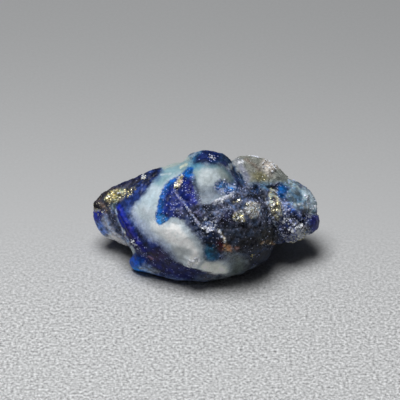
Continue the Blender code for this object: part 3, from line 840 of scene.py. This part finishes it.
CLEAR = (1, 1, 1, 1)
GREY_VEIL = (0.74, 0.8, 0.82, 1)
WARM_CAST = (1.16, 1, 0.88, 1)
COOL_CAST = (0.78, 0.98, 1.16, 1)
DARK_BLUE = opaque(30, 40, 78)
LILAC = opaque(168, 173, 190)
POLISHED_SPECK_AND_GLINT = opaque(166, 180, 250)
BROKEN_SPECK = opaque(202, 206, 220)
BRASS = opaque(206, 196, 150)
SPECK_SIZE = 0.24
skin = Finish("polished_afghanite")
fine = skin.mottle(0.28, 3, 0.6)
medium = skin.mottle(0.9, 5, 0.65)
wisps = skin.mottle(1.9, 6, 0.7)
granular = skin.kept("grit")
specks_and_glints = skin.kept("specks")

# Calcite: cloudy white with wisps and thin grey veils, sugary where it is broken.
calcite = skin.toned(skin.kept("calcite_tint_and_highlights", "Color"), 0.62 + 0.76 * wisps)
calcite = skin.toned(calcite, 0.88 + 0.24 * fine)
veil = skin.rise(skin.mottle(1.1, 8, 0.75), 0.5, 0.72)
calcite = skin.filtered(calcite, skin.over(veil, CLEAR, GREY_VEIL))
sugary = (granular + specks_and_glints) * (skin.lot(0.4, "Blue") - 0.5)
calcite = skin.toned(calcite, 1 + sugary)

# Rock: blue and dark grains side by side, warm and cool by turns, with dark joints, broken
# blue and lilac pieces, pale specks, a few of which are painted glints, and flecks of pyrite.
uneven = 0.75 + 0.5 * fine + granular * (skin.lot(0.35, "Green") - 0.5) * 1.1
rock = skin.toned(skin.kept("rock_tint_and_painted_light", "Color"), uneven)
lit = skin.rise(medium, 0.36, 0.64)
rock = skin.toned(rock, 0.5 + lit + granular * (0.7 * lit - 0.35))
cool = skin.rise(skin.mottle(0.8, 4, 0.65), 0.35, 0.65)
rock = skin.filtered(rock, skin.over(cool, WARM_CAST, COOL_CAST))
chunk = skin.lot(0.6, "Red")
broken = skin.rise(specks_and_glints, 0.3, 0.5)
rock = skin.over(skin.rise(chunk, 0.34, 0.28) * broken * 0.7, rock, DARK_BLUE)
rock = skin.over(skin.rise(chunk, 0.78, 0.84) * broken * 0.5, rock, LILAC)
joint = skin.rise(skin.joints(0.9), 0.1, 0) * granular
rock = skin.toned(rock, 1 - 0.5 * joint)
pale = skin.over(granular, POLISHED_SPECK_AND_GLINT, BROKEN_SPECK)
pale_grains_and_glints = skin.grains(SPECK_SIZE, specks_and_glints * (0.1 + 1.5 * medium))
rock = skin.over(pale_grains_and_glints * (0.66 + 0.14 * granular), rock, pale)
gold_grains = skin.grains(SPECK_SIZE, skin.kept("gold") * (0.4 + medium))
rock = skin.over(gold_grains, rock, BRASS)

# The two grow into each other with smoky edges.
smoky = (medium - 0.5) * 0.6 + (fine - 0.5) * 0.5
calcite_share = skin.rise(skin.kept("white") + smoky, 0.06, 0.94)

# Gritty ground glints, because the face of each grain is tilted its own way.
tilt = skin.vector("SUBTRACT", {0: skin.cells(0.3, "Color"), 1: (0.5, 0.5, 0.5)})
tilt = skin.toned(tilt, granular * 0.6)
lie = skin.node("ShaderNodeNewGeometry", {}, {}, "Normal")
lie = skin.vector("ADD", {0: lie, 1: tilt})
lie = skin.vector("NORMALIZE", {0: lie})
bumps = {"Strength": 0.6, "Distance": 0.06 * MM, "Height": fine * (0.25 + granular), "Normal": lie}
lie = skin.node("ShaderNodeBump", {}, bumps, "Normal")

calcite_shader = skin.node("ShaderNodeBsdfPrincipled", {}, {
    "Base Color": calcite,
    "Roughness": 0.4 + 0.2 * fine,
    "Normal": lie,
    "IOR": 1.55,
    "Specular IOR Level": 0.3,
    "Subsurface Weight": 0.4,
    "Subsurface Radius": (1, 1, 1),
    "Subsurface Scale": 0.5 * MM,
})
rock_shader = skin.node("ShaderNodeBsdfPrincipled", {}, {
    "Base Color": rock,
    "Roughness": 0.34 + 0.2 * fine + 0.1 * granular,
    "Metallic": gold_grains,
    "Normal": lie,
    "IOR": 1.5,
    "Specular IOR Level": 0.22,
})
skin.show(skin.node("ShaderNodeMixShader", {}, {0: calcite_share, 1: rock_shader, 2: calcite_shader}))
stone.data.materials.clear()
stone.data.materials.append(skin.material)
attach(stone, "root")
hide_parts("afghanite_stone")


# The pyrite. It sits in the skin as small bright crystals of pale brass colour, thickest along
# the nose, on the dark swelling and in the column beside the right end.
JITTER = 0.28
STRETCH = (0.6, 1.2)
SUNK = 0.3
SEED = 11
skin_places = moved * MM
skin_normals = at_corners("normal")
chance = np.random.default_rng(SEED)


def sown(shape, tones, side, share, outline, count, sizes, shades=(0, 1)):
    """Sets small crystals in the skin at random places inside an outline.

    Sizes, in millimetres, and shades, from 0 to 1, go from the least to the most.
    """
    inside = np.flatnonzero((side.depth(outline) > 0) & (share > 0.5))
    for spot in chance.choice(inside, min(count, len(inside)), replace=False):
        size = chance.uniform(*sizes) * MM
        turn = Euler(chance.uniform(0, 2 * math.pi, 3)).to_matrix().to_4x4()
        middle = Vector(skin_places[spot]) - Vector(skin_normals[spot]) * size * SUNK
        stretch = Matrix.Diagonal((*chance.uniform(*STRETCH, 3), 1))
        matrix = Matrix.Translation(middle) @ turn @ stretch
        made = bmesh.ops.create_cube(shape, size=size, matrix=matrix)
        tone = chance.uniform(*shades)
        for corner in made["verts"]:
            corner.co += Vector(chance.uniform(-JITTER, JITTER, 3)) * size
            corner[tones] = tone


def made_of(shape, name):
    """A piece with the mesh that a shape holds."""
    mesh = bpy.data.meshes.new(name)
    shape.to_mesh(mesh)
    shape.free()
    return placed(name, mesh)


def crystals(name, display_sowing, hidden_sowing):
    """One mesh of many small crystals, sown on both sides of the stone."""
    shape = bmesh.new()
    tones = shape.verts.layers.float.new("tone")
    for row in display_sowing:
        sown(shape, tones, display, 1 - behind, *row)
    for row in hidden_sowing:
        sown(shape, tones, hidden, behind, *row)
    return made_of(shape, name)


pyrite = crystals("pyrite_grains", [
    ([(106, 199), (109, 193), (117, 190.5), (119, 192), (118, 197), (112, 201)], 76, (0.1, 0.4), (0.2, 1)),
    ([(118, 196), (129, 190), (140, 186), (136, 191), (124, 199)], 20, (0.1, 0.26), (0, 0.6)),
    (GRAIN_SPOT, 9, (0.14, 0.28), (0, 0.6)),
    (TONGUE_GRAIN, 18, (0.16, 0.4), (0, 0.7)),
    ([(92, 200), (102, 196), (112, 202), (108, 214), (98, 214)], 14, (0.1, 0.2), (0, 0.5)),
    ([(233, 202), (238, 198), (242, 199), (238, 203)], 13, (0.12, 0.28), (0, 0.3)),
    (CLUSTER, 30, (0.1, 0.28)),
    (CLUSTER_RIGHT, 26, (0.1, 0.28), (0, 0.4)),
    ([(270, 200), (275, 198), (279, 206), (280, 214), (275, 218), (271, 210)], 40, (0.1, 0.26)),
    ([(268, 190), (275, 189), (277, 198), (270, 200)], 12, (0.08, 0.2)),
    ([(262, 243), (268, 240), (274, 243), (268, 246)], 5, (0.12, 0.2), (0, 0.4)),
    ([(287, 238), (298, 235), (306, 230), (304, 238), (292, 243)], 26, (0.14, 0.3)),
    ([(250, 254), (256, 252), (257, 259), (251, 260)], 8, (0.12, 0.26)),
    ([(252, 174), (264, 172), (270, 178), (258, 181)], 10, (0.1, 0.2)),
], [
    ([(210, 14), (234, 0), (256, -6), (250, -22), (224, -16)], 110, (0.12, 0.4)),
    ([(124, 36), (150, 16), (156, -20), (138, -8)], 60, (0.12, 0.34)),
    ([(84, 75), (322, 75), (322, -80), (84, -80)], 60, (0.08, 0.18)),
])
PALE_BRASS = opaque(240, 237, 218)
DEEP_BRASS = opaque(226, 214, 150)
bright = Finish("pyrite")
tone = bright.kept("tone")
brassy = bright.over(tone, PALE_BRASS, DEEP_BRASS)
bright.show(bright.node("ShaderNodeBsdfPrincipled", {}, {
    "Base Color": bright.toned(brassy, 0.9 + 0.2 * bright.mottle(0.1)),
    "Roughness": 0.22 + 0.2 * tone,
    "Metallic": 0.75,
}))
pyrite.data.materials.append(bright.material)
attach(pyrite, "root")


# The calcite crumbs. Broken white, lilac and blue grains stand in the pit, along the vein and
# the ledge, and all over the granular right end and the grey crystal. A few white ones are
# painted glints on the crown, the ridge, the ledge, the groove's edge and the grey crystal.
crumbs = crystals("calcite_crumbs_and_glints", [
    (PIT, 40, (0.12, 0.32), (0, 0.5)),
    ([(203, 225), (208, 228), (215, 228), (214, 231), (207, 232), (202, 228)], 20, (0.16, 0.34), (0, 0.3)),
    ([
        (176, 191), (183, 200), (195, 217), (205, 226), (203, 230), (190, 217)
    ], 46, (0.08, 0.18), (0, 0.45)),
    ([(217, 229), (220, 229), (227, 242), (224, 243)], 20, (0.14, 0.28), (0, 0.3)),
    # Crumbs on the ledge's edge, partly broken calcite and partly painted glints.
    ([(212, 203), (222, 198), (231, 192), (233, 196), (222, 202)], 34, (0.12, 0.28), (0, 0.3)),
    ([(280, 216), (290, 218), (298, 224), (298, 240), (286, 243), (280, 230)], 110, (0.14, 0.4)),
    ([(290, 229), (299, 226), (307, 230), (304, 235), (294, 236)], 40, (0.16, 0.36), (0, 0.1)),
    ([(294, 225), (303, 222), (309, 231), (305, 237), (294, 240)], 90, (0.12, 0.34), (0, 0.2)),
    ([(279, 198), (286, 204), (290, 212), (285, 218), (281, 210)], 50, (0.12, 0.28), (0, 0.5)),
    ([(286, 206), (298, 212), (306, 218), (300, 220), (288, 214)], 50, (0.14, 0.34), (0.5, 1)),
    ([(304, 190), (316, 198), (318, 208), (308, 210), (305, 200)], 26, (0.12, 0.3), (0, 0.5)),
    (NOSE_FRONT, 34, (0.08, 0.18), (0, 0.5)),
    (GRAIN_SPOT, 20, (0.12, 0.28), (0, 0.1)),
    ([(262, 160), (270, 160), (276, 168), (272, 174), (263, 172)], 40, (0.12, 0.34), (0, 0.1)),
    (TONGUE_GRAIN, 11, (0.2, 0.44), (0, 0.15)),
    # White crumbs here stand for the painted highlight on the grey crystal's left lobe.
    ([(238, 161), (243, 160), (243, 165), (239, 165)], 14, (0.14, 0.3), (0, 0.2)),
    (CRYSTAL, 24, (0.08, 0.18), (0, 0.15)),
    (BLUE_PATCH, 26, (0.1, 0.22), (0, 0.6)),
    # White crumbs as painted glints on the crown's top.
    ([(208, 156), (213, 154), (217, 157), (213, 160)], 12, (0.12, 0.24), (0, 0.3)),
    # White crumbs on the bright spot, partly broken calcite and partly a painted highlight.
    ([(188, 259), (194, 255), (201, 256), (199, 261), (190, 262)], 26, (0.2, 0.5), (0, 0.1)),
    (TONGUE, 26, (0.07, 0.13), (0.42, 0.5)),
    ([(196, 205), (230, 200), (236, 214), (226, 228), (204, 226)], 50, (0.07, 0.14), (0.2, 0.6)),
    ([(107, 197), (112, 192), (119, 190.5), (122, 193), (118, 199)], 26, (0.1, 0.26), (0, 0.2)),
    ([(131, 236), (138, 243), (142, 252), (138, 252), (132, 243)], 14, (0.1, 0.2), (0, 0.45)),
    (CLUSTER, 34, (0.1, 0.28), (0, 0.15)),
    (CLUSTER_RIGHT, 80, (0.1, 0.26), (0, 0.15)),
    # Crumbs along the groove's edge, partly grains and partly its painted highlight.
    ([(264, 196), (268, 204), (272, 214), (284, 240), (282, 242), (270, 216)], 30, (0.1, 0.22), (0, 0.5)),
    ([(238, 188), (268, 186), (268, 200), (244, 200)], 34, (0.1, 0.2), (0.5, 1)),
    # White crumbs as painted glints on the ridge.
    ([(121, 231), (124, 231), (124, 235), (121, 235)], 3, (0.2, 0.3), (0, 0.1)),
    ([(132, 240), (136, 240), (136, 244), (132, 244)], 3, (0.2, 0.3), (0, 0.1)),
], [
    ([(246, 66), (284, 66), (280, 34), (250, 32)], 60, (0.14, 0.34), (0, 0.3)),
    ([(234, 75), (290, 75), (290, 10), (240, 10)], 60, (0.1, 0.24), (0, 0.4)),
    ([(286, 60), (320, 60), (320, -110), (288, -110)], 160, (0.12, 0.3)),
])
CRUMB_WHITE = opaque(219, 223, 230)
CRUMB_LILAC = opaque(170, 178, 218)
CRUMB_BLUE = opaque(36, 56, 116)
sugar = Finish("calcite_crumbs_and_glints")
tone = sugar.kept("tone")
milky = sugar.over(sugar.rise(tone, 0.1, 0.5), CRUMB_WHITE, CRUMB_LILAC)
milky = sugar.over(sugar.rise(tone, 0.55, 0.95), milky, CRUMB_BLUE)
sugar.show(sugar.node("ShaderNodeBsdfPrincipled", {}, {
    "Base Color": sugar.toned(milky, 0.9 + 0.2 * sugar.mottle(0.1)),
    "Roughness": 0.25 + 0.2 * tone,
    "IOR": 1.5,
    "Specular IOR Level": 0.4,
}))
crumbs.data.materials.append(sugar.material)
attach(crumbs, "root")


# The floor. A sheet of pale grey paper, grainy like fine card. Its grain shows most towards the
# front, and painted shade makes it a little darker towards the back.
PAPER_HALF = 1.5
PAPER_BACK = opaque(146, 147, 148)
PAPER_FRONT = opaque(186, 187, 188)
TONE_RUN = (0.075, -0.035)
GRAIN_RUN = (0.012, -0.02)
GRAIN_SIZE = 0.42
shape = bmesh.new()
bmesh.ops.create_grid(shape, x_segments=1, y_segments=1, size=PAPER_HALF)
paper = made_of(shape, "paper")
sheet = Finish("pale_paper")
spot = sheet.node("ShaderNodeTexCoord", {}, {}, "Object")
depth = sheet.node("ShaderNodeSeparateXYZ", {}, {"Vector": spot}, "Y")
near = sheet.rise(depth, *GRAIN_RUN)
# Painted shade: the paper's colour darkens towards the back.
tone = sheet.over(sheet.rise(depth, *TONE_RUN), PAPER_BACK, PAPER_FRONT)
grain = (sheet.mottle(GRAIN_SIZE, 3, 0.7) - 0.5) * (0.15 + 3.2 * near)
sheet.show(sheet.node("ShaderNodeBsdfPrincipled", {}, {
    "Base Color": sheet.toned(tone, 1 + grain),
    "Roughness": 0.9,
}))
paper.data.materials.append(sheet.material)


# The light. One wide soft lamp over the stone, a little behind it and to the left, in a room
# that gives back only a little light.
LAMP_WIDTH = 0.18
LAMP_WATTS = 1.33
LAMP_PLACE = (-0.05, 0.012, 0.33)
ROOM_TINT = (0.95, 0.97, 1.0, 1)
ROOM_LIGHT = 0.03
lamp = bpy.data.lights.new("soft_lamp", "AREA")
lamp.size = LAMP_WIDTH
lamp.energy = LAMP_WATTS
hung = placed("soft_lamp", lamp)
hung.location = LAMP_PLACE
hung.rotation_euler = (hung.location - STONE_MIDDLE).to_track_quat("Z", "Y").to_euler()
room = bpy.data.worlds.new("dim_room")
bpy.context.scene.world = room
room.use_nodes = True
glow = room.node_tree.nodes["Background"]
glow.inputs["Color"].default_value = ROOM_TINT
glow.inputs["Strength"].default_value = ROOM_LIGHT
bpy.context.scene.view_settings.view_transform = "Standard"
